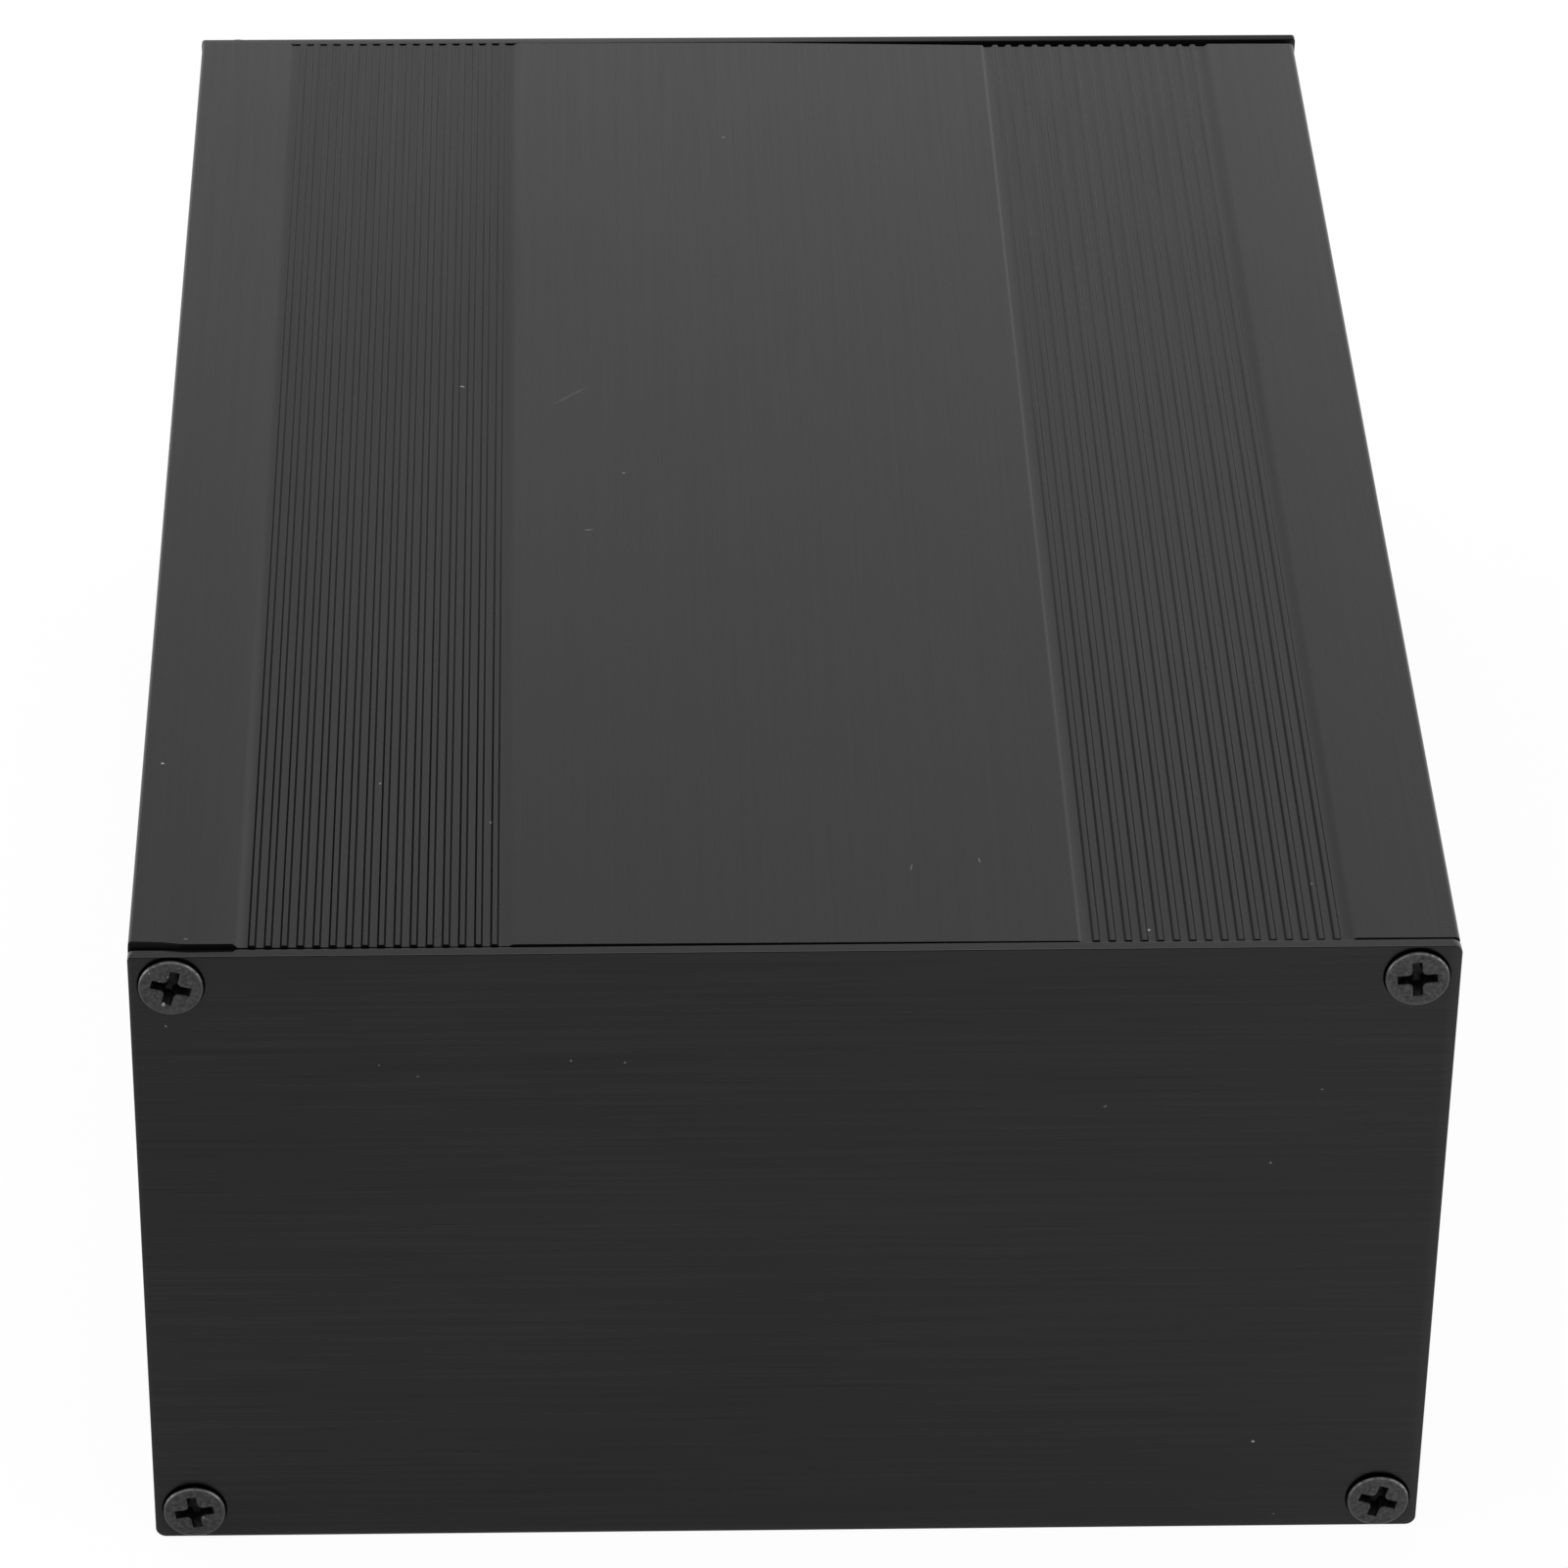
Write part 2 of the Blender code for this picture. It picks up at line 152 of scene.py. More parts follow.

# Tone of the ribs' sides along the case, across it, and from left sides to right sides: painted shade by
# facing, and along and across the case partly painted shade and partly the finish
FLANK_LENGTHWISE = (-0.070, 0.097, 0.0, 0.050)
FLANK_ACROSS = (-0.03, 0.03, 0.0, 0.0155)
FLANK_SHADE_BY_FACING = (-0.5, 0.5, 0.0, 0.005)

# Wear along the edges of the plates, and where the sheen of their sheared edges changes, which on the rear
# plate is painted shade
WEAR_RIGHT = (0.0712, 0.0724, 0.0, 0.34)
WEAR_LEFT = (-0.0723, -0.0719, 0.22, 0.0)
WEAR_LOW = (0.0003, 0.0012, 0.20, 0.0)
EDGE_SHEEN_SPAN = (-0.020, 0.045)

# Floor: it lies a hair below the case, so that the two share no plane. Most of what the camera sees
# of it is a plain glow, and less of what is mirrored, where it also brightens to the right
FLOOR_DROP = 0.0001
FLOOR_RADIUS = 5.0
FLOOR_SIDES = 64
FLOOR_LEVEL = 0.85
FLOOR_GLOW = 0.95
FLOOR_GLOW_LOSS = 0.36
FLOOR_DRIFT = (-0.08, 0.08, -0.12, 0.24)

# Light tent: its level and how it falls with height, the light added low down and on the right, the
# dark opening towards the camera, and the level that lights the case without being seen in it
TENT_LEVEL = 1.115
TENT_FALL = 0.40
TENT_LOW = (0.46, 0.518, 0.28, 0.0)
TENT_MIDDLE = 0.03
TENT_LEAN = (0.465, 0.58, 0.0, 1.30)
TENT_OPENING = (-0.80, -0.14, 0.12, 1.0)
TENT_UNSEEN = 0.7

# Lamp above the case
LAMP_PLACE = (-0.25, -0.05, 1.35)
LAMP_TARGET = (0.0, 0.0, 0.05)
LAMP_SIZE = (1.6, 1.6)
LAMP_POWER = 15.0

# Dust and scratches seen on the case, and painted glints on two screws: place, half length and half width,
# turn and strength
TOP_MARKS = (
    (0.0386, -0.1010, 0.00028, 0.00018, 20.0, 1.0),
    (-0.0332, -0.0795, 0.00020, 0.00016, 0.0, 0.8),
    (-0.0457, -0.0716, 0.00020, 0.00013, 60.0, 0.6),
    (-0.0373, 0.0150, 0.00045, 0.00014, -20.0, 0.8),
    (-0.0220, -0.0186, 0.00060, 0.00010, 5.0, 0.35),
    (-0.0177, -0.0058, 0.00020, 0.00014, 0.0, 0.5),
    (-0.0702, -0.0681, 0.00024, 0.00018, 0.0, 0.9),
    (-0.0039, 0.0773, 0.00026, 0.00016, 0.0, 0.4),
    (0.0572, -0.0928, 0.00018, 0.00014, 0.0, 0.4),
    (-0.0569, -0.0922, 0.00016, 0.00012, 0.0, 0.4),
    (-0.0240, 0.0124, 0.00380, 0.00009, 44.0, 0.16),
    (0.0132, -0.0891, 0.00070, 0.00010, 80.0, 0.25),
    (0.0208, -0.0878, 0.00050, 0.00010, 100.0, 0.3),
    (-0.0662, -0.1023, 0.00030, 0.00008, 0.0, 0.5),
)
PLATE_MARKS = (
    (0.0531, 0.0126, 0.00022, 0.00018, 0.0, 1.0),
    (-0.0186, 0.0670, 0.00016, 0.00012, 0.0, 0.45),
    (-0.0686, 0.0724, 0.00016, 0.00012, 0.0, 0.5),
    (-0.0245, 0.0673, 0.00016, 0.00012, 0.0, 0.45),
    (0.0344, 0.0605, 0.00030, 0.00010, 30.0, 0.35),
    (0.0583, 0.0626, 0.00016, 0.00012, 0.0, 0.35),
    (0.0531, 0.0525, 0.00018, 0.00014, 0.0, 0.45),
    (-0.0455, 0.0669, 0.00014, 0.00010, 0.0, 0.3),
    (-0.0413, 0.0653, 0.00018, 0.00012, 0.0, 0.3),
    (0.0560, 0.0018, 0.00020, 0.00010, 0.0, 0.3),
)
# Painted glints on two of the screws
SCREW_GLINTS = (
    (-0.06873, 0.07577, 0.00024, 0.00020, 0.0, 1.0),
    (0.06771, 0.07893, 0.00018, 0.00016, 0.0, 0.8),
)


def smooth(mesh, angle):
    """Shade a mesh smooth, apart from edges sharper than an angle in degrees."""
    mesh.shade_smooth()
    mesh.set_sharp_from_angle(angle=math.radians(angle))


def add_piece(name, mesh, node):
    """Put a piece in the scene, riding with the case and standing for a CAD node."""
    obj = bpy.data.objects.new(name, mesh)
    bpy.context.scene.collection.objects.link(obj)
    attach(obj, "root")
    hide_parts(node)
    return obj


def keep_faces_flat(obj):
    """Let broad faces set the normals, so that only the rounded edges shade round."""
    weighted = obj.modifiers.new("Flat faces", "WEIGHTED_NORMAL")
    weighted.mode = "FACE_AREA"
    weighted.weight = 100
    weighted.keep_sharp = True


def interpolated(points, x):
    """A height between points that are given from left to right."""
    if x <= points[0][0]:
        return points[0][1]
    for (x0, y0), (x1, y1) in zip(points, points[1:]):
        if x <= x1:
            return y0 + (y1 - y0) * (x - x0) / (x1 - x0)
    return points[-1][1]


# Node helpers
def add_node(tree, kind, **settings):
    """Add a node and set its own properties."""
    node = tree.nodes.new(kind)
    for key, value in settings.items():
        setattr(node, key, value)
    return node


def feed(tree, socket, value):
    """Link an output to an input, or set the input's own value."""
    if isinstance(value, bpy.types.NodeSocket):
        tree.links.new(value, socket)
    else:
        socket.default_value = value


def maths(tree, operation, first, second=0.0):
    """A Math node's result."""
    node = add_node(tree, "ShaderNodeMath", operation=operation)
    feed(tree, node.inputs[0], first)
    feed(tree, node.inputs[1], second)
    return node.outputs[0]


def plus(tree, first, second):
    """The sum of two numbers."""
    return maths(tree, "ADD", first, second)


def minus(tree, first, second):
    """The first number less the second."""
    return maths(tree, "SUBTRACT", first, second)


def times(tree, first, second):
    """The product of two numbers."""
    return maths(tree, "MULTIPLY", first, second)


def larger(tree, first, second):
    """The larger of two numbers."""
    return maths(tree, "MAXIMUM", first, second)


def ramp(tree, value, low, high, to_low=0.0, to_high=1.0):
    """A value carried from one range to another, and held at its ends."""
    node = add_node(tree, "ShaderNodeMapRange", clamp=True)
    feed(tree, node.inputs["Value"], value)
    node.inputs["From Min"].default_value = low
    node.inputs["From Max"].default_value = high
    node.inputs["To Min"].default_value = to_low
    node.inputs["To Max"].default_value = to_high
    return node.outputs["Result"]


def parts_of(tree, vector):
    """The three numbers of a vector."""
    node = add_node(tree, "ShaderNodeSeparateXYZ")
    feed(tree, node.inputs[0], vector)
    return node.outputs


def stretched(tree, coordinates, size):
    """Coordinates counted in cells of a size along each axis."""
    node = add_node(tree, "ShaderNodeMapping")
    feed(tree, node.inputs["Vector"], coordinates)
    node.inputs["Scale"].default_value = tuple(1.0 / length for length in size)
    return node.outputs["Vector"]


def noise(tree, coordinates, detail=2.0, roughness=0.5):
    """Noise with cells of one unit."""
    node = add_node(tree, "ShaderNodeTexNoise", noise_dimensions="3D")
    feed(tree, node.inputs["Vector"], coordinates)
    node.inputs["Scale"].default_value = 1.0
    node.inputs["Detail"].default_value = detail
    node.inputs["Roughness"].default_value = roughness
    return node.outputs["Fac"]


def specks(tree, coordinates, cell, share, size):
    """A mask of tiny grains: a share of the cells holds one."""
    node = add_node(tree, "ShaderNodeTexVoronoi", voronoi_dimensions="3D", feature="F1")
    feed(tree, node.inputs["Vector"], stretched(tree, coordinates, (cell, cell, cell)))
    node.inputs["Scale"].default_value = 1.0
    split = add_node(tree, "ShaderNodeSeparateColor")
    feed(tree, split.inputs[0], node.outputs["Color"])
    chosen = maths(tree, "LESS_THAN", split.outputs[0], share)
    near = ramp(tree, node.outputs["Distance"], size * 0.6, size, 1.0, 0.0)
    return times(tree, chosen, near)


def marks(tree, coordinates, places, upright):
    """A mask of given grains and scratches, on the top or on an upright face, and of the painted glints on
    the screws.
    """
    mask = 0.0
    for across, along, length, width, turn, strength in places:
        node = add_node(tree, "ShaderNodeMapping", vector_type="TEXTURE")
        feed(tree, node.inputs["Vector"], coordinates)
        angle = math.radians(turn)
        if upright:
            node.inputs["Location"].default_value = (across, 0.0, along)
            node.inputs["Rotation"].default_value = (0.0, -angle, 0.0)
            node.inputs["Scale"].default_value = (length, 100.0, width)
        else:
            node.inputs["Location"].default_value = (across, along, 0.0)
            node.inputs["Rotation"].default_value = (0.0, 0.0, angle)
            node.inputs["Scale"].default_value = (length, width, 100.0)
        reach = add_node(tree, "ShaderNodeVectorMath", operation="LENGTH")
        feed(tree, reach.inputs[0], node.outputs["Vector"])
        here = ramp(tree, reach.outputs["Value"], 0.5, 1.0, strength, 0.0)
        mask = larger(tree, here, mask)
    return mask


def mixed_colour(tree, share, first, second):
    """A colour between two, by a share."""
    node = add_node(tree, "ShaderNodeMix", data_type="RGBA")
    feed(tree, node.inputs[0], share)
    feed(tree, node.inputs[6], first)
    feed(tree, node.inputs[7], second)
    return node.outputs[2]


def bumped(tree, height, strength, distance):
    """A bump normal from a height field."""
    node = add_node(tree, "ShaderNodeBump")
    node.inputs["Strength"].default_value = strength
    node.inputs["Distance"].default_value = distance
    feed(tree, node.inputs["Height"], height)
    return node.outputs["Normal"]


def new_finish(name):
    """A material with a Principled shader, and its object coordinates."""
    material = bpy.data.materials.new(name)
    material.use_nodes = True
    tree = material.node_tree
    shader = tree.nodes["Principled BSDF"]
    where = add_node(tree, "ShaderNodeTexCoord").outputs["Object"]
    return material, tree, shader, where


def grey(level):
    """A neutral colour."""
    return (level, level, level * 1.01, 1.0)


def brushed_black(name, fine, medium, broad, dark, light, roughness, specular, dust, wear=None):
    """Black anodised aluminium with lines: cell sizes of three scales of streak, in metres.

    Dust gives a mask of grains and wear a mask of paler edges, each from the tree and coordinates.
    The specular level is a number, or is given in the same way where it changes with the place.
    """
    material, tree, shader, where = new_finish(name)
    fine_lines = noise(tree, stretched(tree, where, fine), 3.0, 0.6)
    medium_lines = noise(tree, stretched(tree, where, medium), 2.0, 0.5)
    clouds = noise(tree, stretched(tree, where, broad), 2.0, 0.5)
    lines = plus(tree, times(tree, fine_lines, 0.5), times(tree, medium_lines, 0.3))
    lines = plus(tree, lines, times(tree, clouds, 0.2))
    share = ramp(tree, lines, 0.32, 0.68)
    colour = mixed_colour(tree, share, grey(dark), grey(light))
    if wear is not None:
        colour = mixed_colour(tree, wear(tree, where), colour, grey(0.030))
    grains = larger(tree, specks(tree, where, 0.0075, 0.035, 0.022), dust(tree, where))
    colour = mixed_colour(tree, grains, colour, grey(0.32))
    feed(tree, shader.inputs["Base Color"], colour)
    feed(tree, shader.inputs["Roughness"], ramp(tree, lines, 0.3, 0.7, roughness + 0.05, roughness - 0.05))
    feed(tree, shader.inputs["Normal"], bumped(tree, lines, 0.35, 0.00002))
    sheen = specular(tree, where) if callable(specular) else specular
    feed(tree, shader.inputs["Specular IOR Level"], sheen)
    return material


def extrusion_sheen(tree, where):
    """The shells' specular level, lower in the bands towards the rear, and most on the left: partly painted
    shade, partly the finish.
    """
    x, y, _ = parts_of(tree, where)
    out = maths(tree, "ABSOLUTE", x)
    # Partly painted shade: the sheen falls by place in the bands
    band = times(tree, ramp(tree, out, *BAND_START), ramp(tree, out, *BAND_END))
    band = times(tree, band, ramp(tree, y, *SHEEN_LENGTHWISE))
    return minus(tree, SHELL_SHEEN, times(tree, band, ramp(tree, x, *SHEEN_FALL)))


def extrusion_finish():
    """The shells: fine lines along the case."""
    return brushed_black(
        "black_anodised_extrusion",
        fine=(0.00016, 0.030, 0.00016),
        medium=(0.0007, 0.060, 0.0007),
        broad=(0.020, 0.050, 0.020),
        dark=0.0003,
        light=0.0074,
        roughness=0.27,
        specular=extrusion_sheen,
        dust=lambda tree, where: marks(tree, where, TOP_MARKS, False),
    )


def flank_finish():
    """The steep sides of the ribs, darkest at the front left, with painted shade: darker on sides that face
    left, and partly painted along and across the case.
    """
    material, tree, shader, where = new_finish("rib_flank_with_painted_shade")
    x, y, _ = parts_of(tree, where)
    facing = parts_of(tree, tree.nodes["Texture Coordinate"].outputs["Normal"])[0]
    streaks = noise(tree, stretched(tree, where, (0.0009, 0.020, 0.0009)), 2.0, 0.5)
    # Painted shade: the sides' colour is set by where they lie and which way they face
    level = plus(tree, ramp(tree, y, *FLANK_LENGTHWISE), ramp(tree, x, *FLANK_ACROSS))
    level = plus(tree, level, ramp(tree, facing, *FLANK_SHADE_BY_FACING))
    level = times(tree, level, ramp(tree, streaks, 0.3, 0.7, 0.85, 1.15))
    feed(tree, shader.inputs["Base Color"], mixed_colour(tree, level, grey(0.0), grey(1.0)))
    feed(tree, shader.inputs["Roughness"], ramp(tree, streaks, 0.3, 0.7, 0.45, 0.55))
    shader.inputs["Specular IOR Level"].default_value = 0.03
    return material


def cut_end_finish():
    """The sawn ends of the shells, dull and dark."""
    material, tree, shader, where = new_finish("black_sawn_end")
    cuts = noise(tree, stretched(tree, where, (0.004, 0.004, 0.00015)), 3.0, 0.6)
    feed(tree, shader.inputs["Base Color"], mixed_colour(tree, cuts, grey(0.001), grey(0.004)))
    feed(tree, shader.inputs["Roughness"], ramp(tree, cuts, 0.3, 0.7, 0.4, 0.55))
    feed(tree, shader.inputs["Normal"], bumped(tree, cuts, 0.4, 0.00003))
    shader.inputs["Specular IOR Level"].default_value = 0.2
    return material


def plate_wear(tree, where):
    """Paler metal along a plate's outer edges, most on the right."""
    x, _, z = parts_of(tree, where)
    sides = larger(tree, ramp(tree, x, *WEAR_RIGHT), ramp(tree, x, *WEAR_LEFT))
    return larger(tree, sides, ramp(tree, z, *WEAR_LOW))


def plate_finish():
    """The end plates: brushed across the case."""
    return brushed_black(
        "black_anodised_plate",
        fine=(0.018, 0.00016, 0.00016),
        medium=(0.040, 0.0006, 0.0006),
        broad=(0.040, 0.012, 0.012),
        dark=0.0001,
        light=0.0080,
        roughness=0.29,
        specular=0.238,
        dust=lambda tree, where: marks(tree, where, PLATE_MARKS, True),
        wear=plate_wear,
    )


def plate_edge_finish(name, left, right):
    """The sheared edges of a plate, with a sheen that can differ from left to right: on the rear plate it
    falls to the right as painted shade.
    """
    material, tree, shader, where = new_finish(name)
    shear = noise(tree, stretched(tree, where, (0.0012, 0.00008, 0.0012)), 3.0, 0.6)
    feed(tree, shader.inputs["Base Color"], mixed_colour(tree, shear, grey(0.0015), grey(0.0045)))
    feed(tree, shader.inputs["Roughness"], ramp(tree, shear, 0.3, 0.7, 0.11, 0.17))
    feed(tree, shader.inputs["Normal"], bumped(tree, shear, 0.15, 0.00001))
    sheen = ramp(tree, parts_of(tree, where)[0], *EDGE_SHEEN_SPAN, left, right)
    feed(tree, shader.inputs["Specular IOR Level"], sheen)
    return material


def screw_finish():
    """The screws' faces and shanks: black oxide on steel, mottled."""
    material, tree, shader, where = new_finish("black_oxide_screw")
    mottle = noise(tree, stretched(tree, where, (0.0005, 0.0005, 0.0005)), 4.0, 0.65)
    colour = mixed_colour(tree, ramp(tree, mottle, 0.35, 0.65), grey(0.023), grey(0.064))
    # Painted glints, mixed in with the grains
    glints = marks(tree, where, SCREW_GLINTS, True)
    grains = larger(tree, specks(tree, where, 0.0011, 0.30, 0.10), glints)
    colour = mixed_colour(tree, grains, colour, grey(0.26))
    feed(tree, shader.inputs["Base Color"], colour)
    feed(tree, shader.inputs["Roughness"], ramp(tree, mottle, 0.3, 0.7, 0.5, 0.36))
    feed(tree, shader.inputs["Normal"], bumped(tree, mottle, 0.3, 0.00004))
    shader.inputs["Metallic"].default_value = 0.8
    return material


def screw_rim_finish():
    """The rounded rims of the heads, with a painted highlight on the part that faces up and painted shade at
    the very top.
    """
    material, tree, shader, where = new_finish("screw_rim_painted_highlight")
    mottle = noise(tree, stretched(tree, where, (0.0006, 0.0006, 0.0006)), 3.0, 0.6)
    normal = tree.nodes["Texture Coordinate"].outputs["Normal"]
    upward = parts_of(tree, normal)[2]
    # Painted highlight: paler metal where the rim faces up
    rim_painted_highlight = times(tree, ramp(tree, upward, 0.12, 0.40), ramp(tree, upward, 0.55, 0.85, 1.0, 0.0))
    rim_painted_highlight = times(tree, rim_painted_highlight, ramp(tree, mottle, 0.36, 0.60, 0.25, 1.0))
    # Painted shade: the rim's oxide colour darkens where it faces straight up
    oxide = mixed_colour(tree, ramp(tree, upward, 0.60, 0.90), grey(0.065), grey(0.012))
    feed(tree, shader.inputs["Base Color"], mixed_colour(tree, rim_painted_highlight, oxide, grey(0.34)))
    feed(tree, shader.inputs["Roughness"], ramp(tree, mottle, 0.3, 0.7, 0.42, 0.30))
    feed(tree, shader.inputs["Normal"], bumped(tree, mottle, 0.3, 0.00003))
    shader.inputs["Metallic"].default_value = 0.9
    return material


def recess_finish():
    """The driver recesses, deep black: painted shade in the hollows, with painted glints."""
    material, tree, shader, where = new_finish("driver_recess_painted_shade")
    mottle = noise(tree, stretched(tree, where, (0.0004, 0.0004, 0.0004)), 3.0, 0.6)
    # Painted shade: the recess is coloured near black
    colour = mixed_colour(tree, ramp(tree, mottle, 0.45, 0.75), grey(0.002), grey(0.016))
    # Painted glints in two recesses
    colour = mixed_colour(tree, marks(tree, where, SCREW_GLINTS, True), colour, grey(0.5))
    feed(tree, shader.inputs["Base Color"], colour)
    feed(tree, shader.inputs["Roughness"], ramp(tree, mottle, 0.3, 0.7, 0.5, 0.3))
    shader.inputs["Specular IOR Level"].default_value = 0.15
    return material


# Shells
def cut_mesh(shape, place, direction):
    """Cut every face that a plane crosses, and leave the shape as it is."""
    bmesh.ops.bisect_plane(
        shape,
        geom=shape.verts[:] + shape.edges[:] + shape.faces[:],
        dist=MERGE_DISTANCE,
        plane_co=place,
        plane_no=direction,
    )


def shorten_ends(shape, ends):
    """Saw the upper shell short where the photograph shows it: front left, and rear right."""
    for x in FRONT_SHORT_CUTS + REAR_SHORT_CUTS:
        cut_mesh(shape, (x, 0.0, 0.0), (1.0, 0.0, 0.0))
    cut_mesh(shape, (0.0, 0.0, FRONT_SHORT_TOP), (0.0, 0.0, 1.0))
    for vertex in shape.verts:
        if vertex.co.y < NEAR - ends and vertex.co.z > FRONT_SHORT_TOP + HAIR:
            vertex.co.y += interpolated(FRONT_SHORT, vertex.co.x)
        if vertex.co.y > ends - NEAR:
            vertex.co.y -= interpolated(REAR_SHORT, vertex.co.x)


def spread_rib(x):
    """Where a point of a rib's side goes, so that the side is wider."""
    centre = FIRST_RIB + round((abs(x) - FIRST_RIB) / RIB_PITCH) * RIB_PITCH
    out = abs(x) - centre
    if abs(abs(out) - RIB_MIDDLE) > NEAR:
        return x
    wider = RIB_SPREAD if abs(out) > RIB_MIDDLE else -RIB_SPREAD
    return math.copysign(centre + math.copysign(abs(out) + wider, out), x)


def settle_top(shape, ends):
    """Sink the floors of the top's bands, widen the ribs' sides, and raise the front left corner."""
    for vertex in shape.verts:
        place = vertex.co
        if place.z > FRONT_SHORT_TOP and BAND_INNER < abs(place.x) < BAND_OUTER:
            place.x = spread_rib(place.x)
            if place.z < BAND_FLOOR:
                place.z -= BAND_SINK
        if place.z > FRONT_SHORT_TOP and place.x < CORNER_START and place.y < CORNER_DEPTH - ends:
            place.z += CORNER_RISE


def shell_mesh(node, name, ends, short):
    """A CAD shell with its flat faces whole again and its long and end edges rounded a little."""
    shape = bmesh.new()
    shape.from_mesh(node.data)
    bmesh.ops.remove_doubles(shape, verts=shape.verts, dist=MERGE_DISTANCE)
    bmesh.ops.dissolve_limit(
        shape,
        angle_limit=math.radians(FLAT_ANGLE),
        verts=shape.verts,
        edges=shape.edges,
    )
    if short:
        shorten_ends(shape, ends)
        settle_top(shape, ends)
    sharp = [edge for edge in shape.edges if edge.calc_face_angle(0.0) > math.radians(SHARP_ANGLE)]
    bmesh.ops.bevel(
        shape,
        geom=sharp,
        offset=SHELL_EDGE_ROUND,
        offset_type="OFFSET",
        segments=SHELL_EDGE_STEPS,
        profile=0.5,
        affect="EDGES",
        clamp_overlap=False,
    )
    mesh = bpy.data.meshes.new(name)
    shape.to_mesh(mesh)
    shape.free()
    return mesh


def shade_faces(mesh, ends):
    """Give a shell's sawn ends and the flanks of its ribs their own finishes."""
    smooth(mesh, SMOOTH_ANGLE)
    highest = max(vertex.co.z for vertex in mesh.vertices)
    lowest = min(vertex.co.z for vertex in mesh.vertices)
    for face in mesh.polygons:
        middle = face.center
        in_skin = middle.z > highest - SKIN_DEPTH or middle.z < lowest + SKIN_DEPTH
        in_band = in_skin and FLANK_INNER < abs(middle.x) < FLANK_OUTER
        if abs(face.normal.y) > END_SLOPE and abs(middle.y) > ends - END_DEPTH:
            face.material_index = 1
        elif in_band and abs(face.normal.x) > FLANK_SLOPE:
            face.material_index = 2


def add_shell(node_name, tilt, finishes, short):
    """One shell, turned by a tilt about the case's long axis."""
    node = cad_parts[node_name]
    low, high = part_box(node_name)
    mesh = shell_mesh(node, "fine_" + node_name, high.y, short)
    shade_faces(mesh, high.y)
    middle = Vector((0.0, 0.0, (low.z + high.z) / 2.0))
    turn = Matrix.Rotation(math.radians(tilt), 4, "Y")
    mesh.transform(Matrix.Translation(middle) @ turn @ Matrix.Translation(-middle))
    for finish in finishes:
        mesh.materials.append(finish)
    obj = add_piece("fine_" + node_name, mesh, node_name)
    keep_faces_flat(obj)
    return obj


# End plates
def circle(centre, radius, count):
    """Points round a circle."""
    points = []
    for index in range(count):
        angle = 2.0 * math.pi * index / count
        points.append((centre[0] + radius * math.cos(angle), centre[1] + radius * math.sin(angle)))
    return points


def sheared(point, half_width, half_height, shear):
    """A point of a plate's outline, shifted as its four corners are."""
    right = (point[0] / half_width + 1.0) / 2.0
    high = (point[1] / half_height + 1.0) / 2.0
    shares = ((1.0 - right) * high, right * high, right * (1.0 - high), (1.0 - right) * (1.0 - high))
    across = sum(share * shift[0] for share, shift in zip(shares, shear))
    up = sum(share * shift[1] for share, shift in zip(shares, shear))
    return (point[0] + across, point[1] + up)


def rounded_outline(half_width, half_height, radii, inset):
    """A rectangle with round corners, drawn in by an inset."""
    points = []
    for quarter, (right, high) in enumerate(((1, 1), (-1, 1), (-1, -1), (1, -1))):
        x = right * (half_width - radii[quarter])
        z = high * (half_height - radii[quarter])
        reach = radii[quarter] - inset
        for step in range(PLATE_CORNER_STEPS + 1):
            angle = math.radians(90.0 * (quarter + step / PLATE_CORNER_STEPS))
            points.append((x + reach * math.cos(angle), z + reach * math.sin(angle)))
    return points


def add_ring(shape, points, depth):
    """Vertices of a ring at a depth behind the plate's face."""
    return [shape.verts.new((x, y, -depth)) for x, y in points]


def bridge(shape, first, second, slot=0):
    """Faces between two rings with as many points."""
    count = len(first)
    for index in range(count):
        after = (index + 1) % count
        face = shape.faces.new((first[index], second[index], second[after], first[after]))
        face.material_index = slot


def ring_edges(shape, ring):
    """The edges round a ring."""
    count = len(ring)
    edges = []
    for index in range(count):
        pair = (ring[index], ring[(index + 1) % count])
        edges.append(shape.edges.get(pair) or shape.edges.new(pair))
    return edges


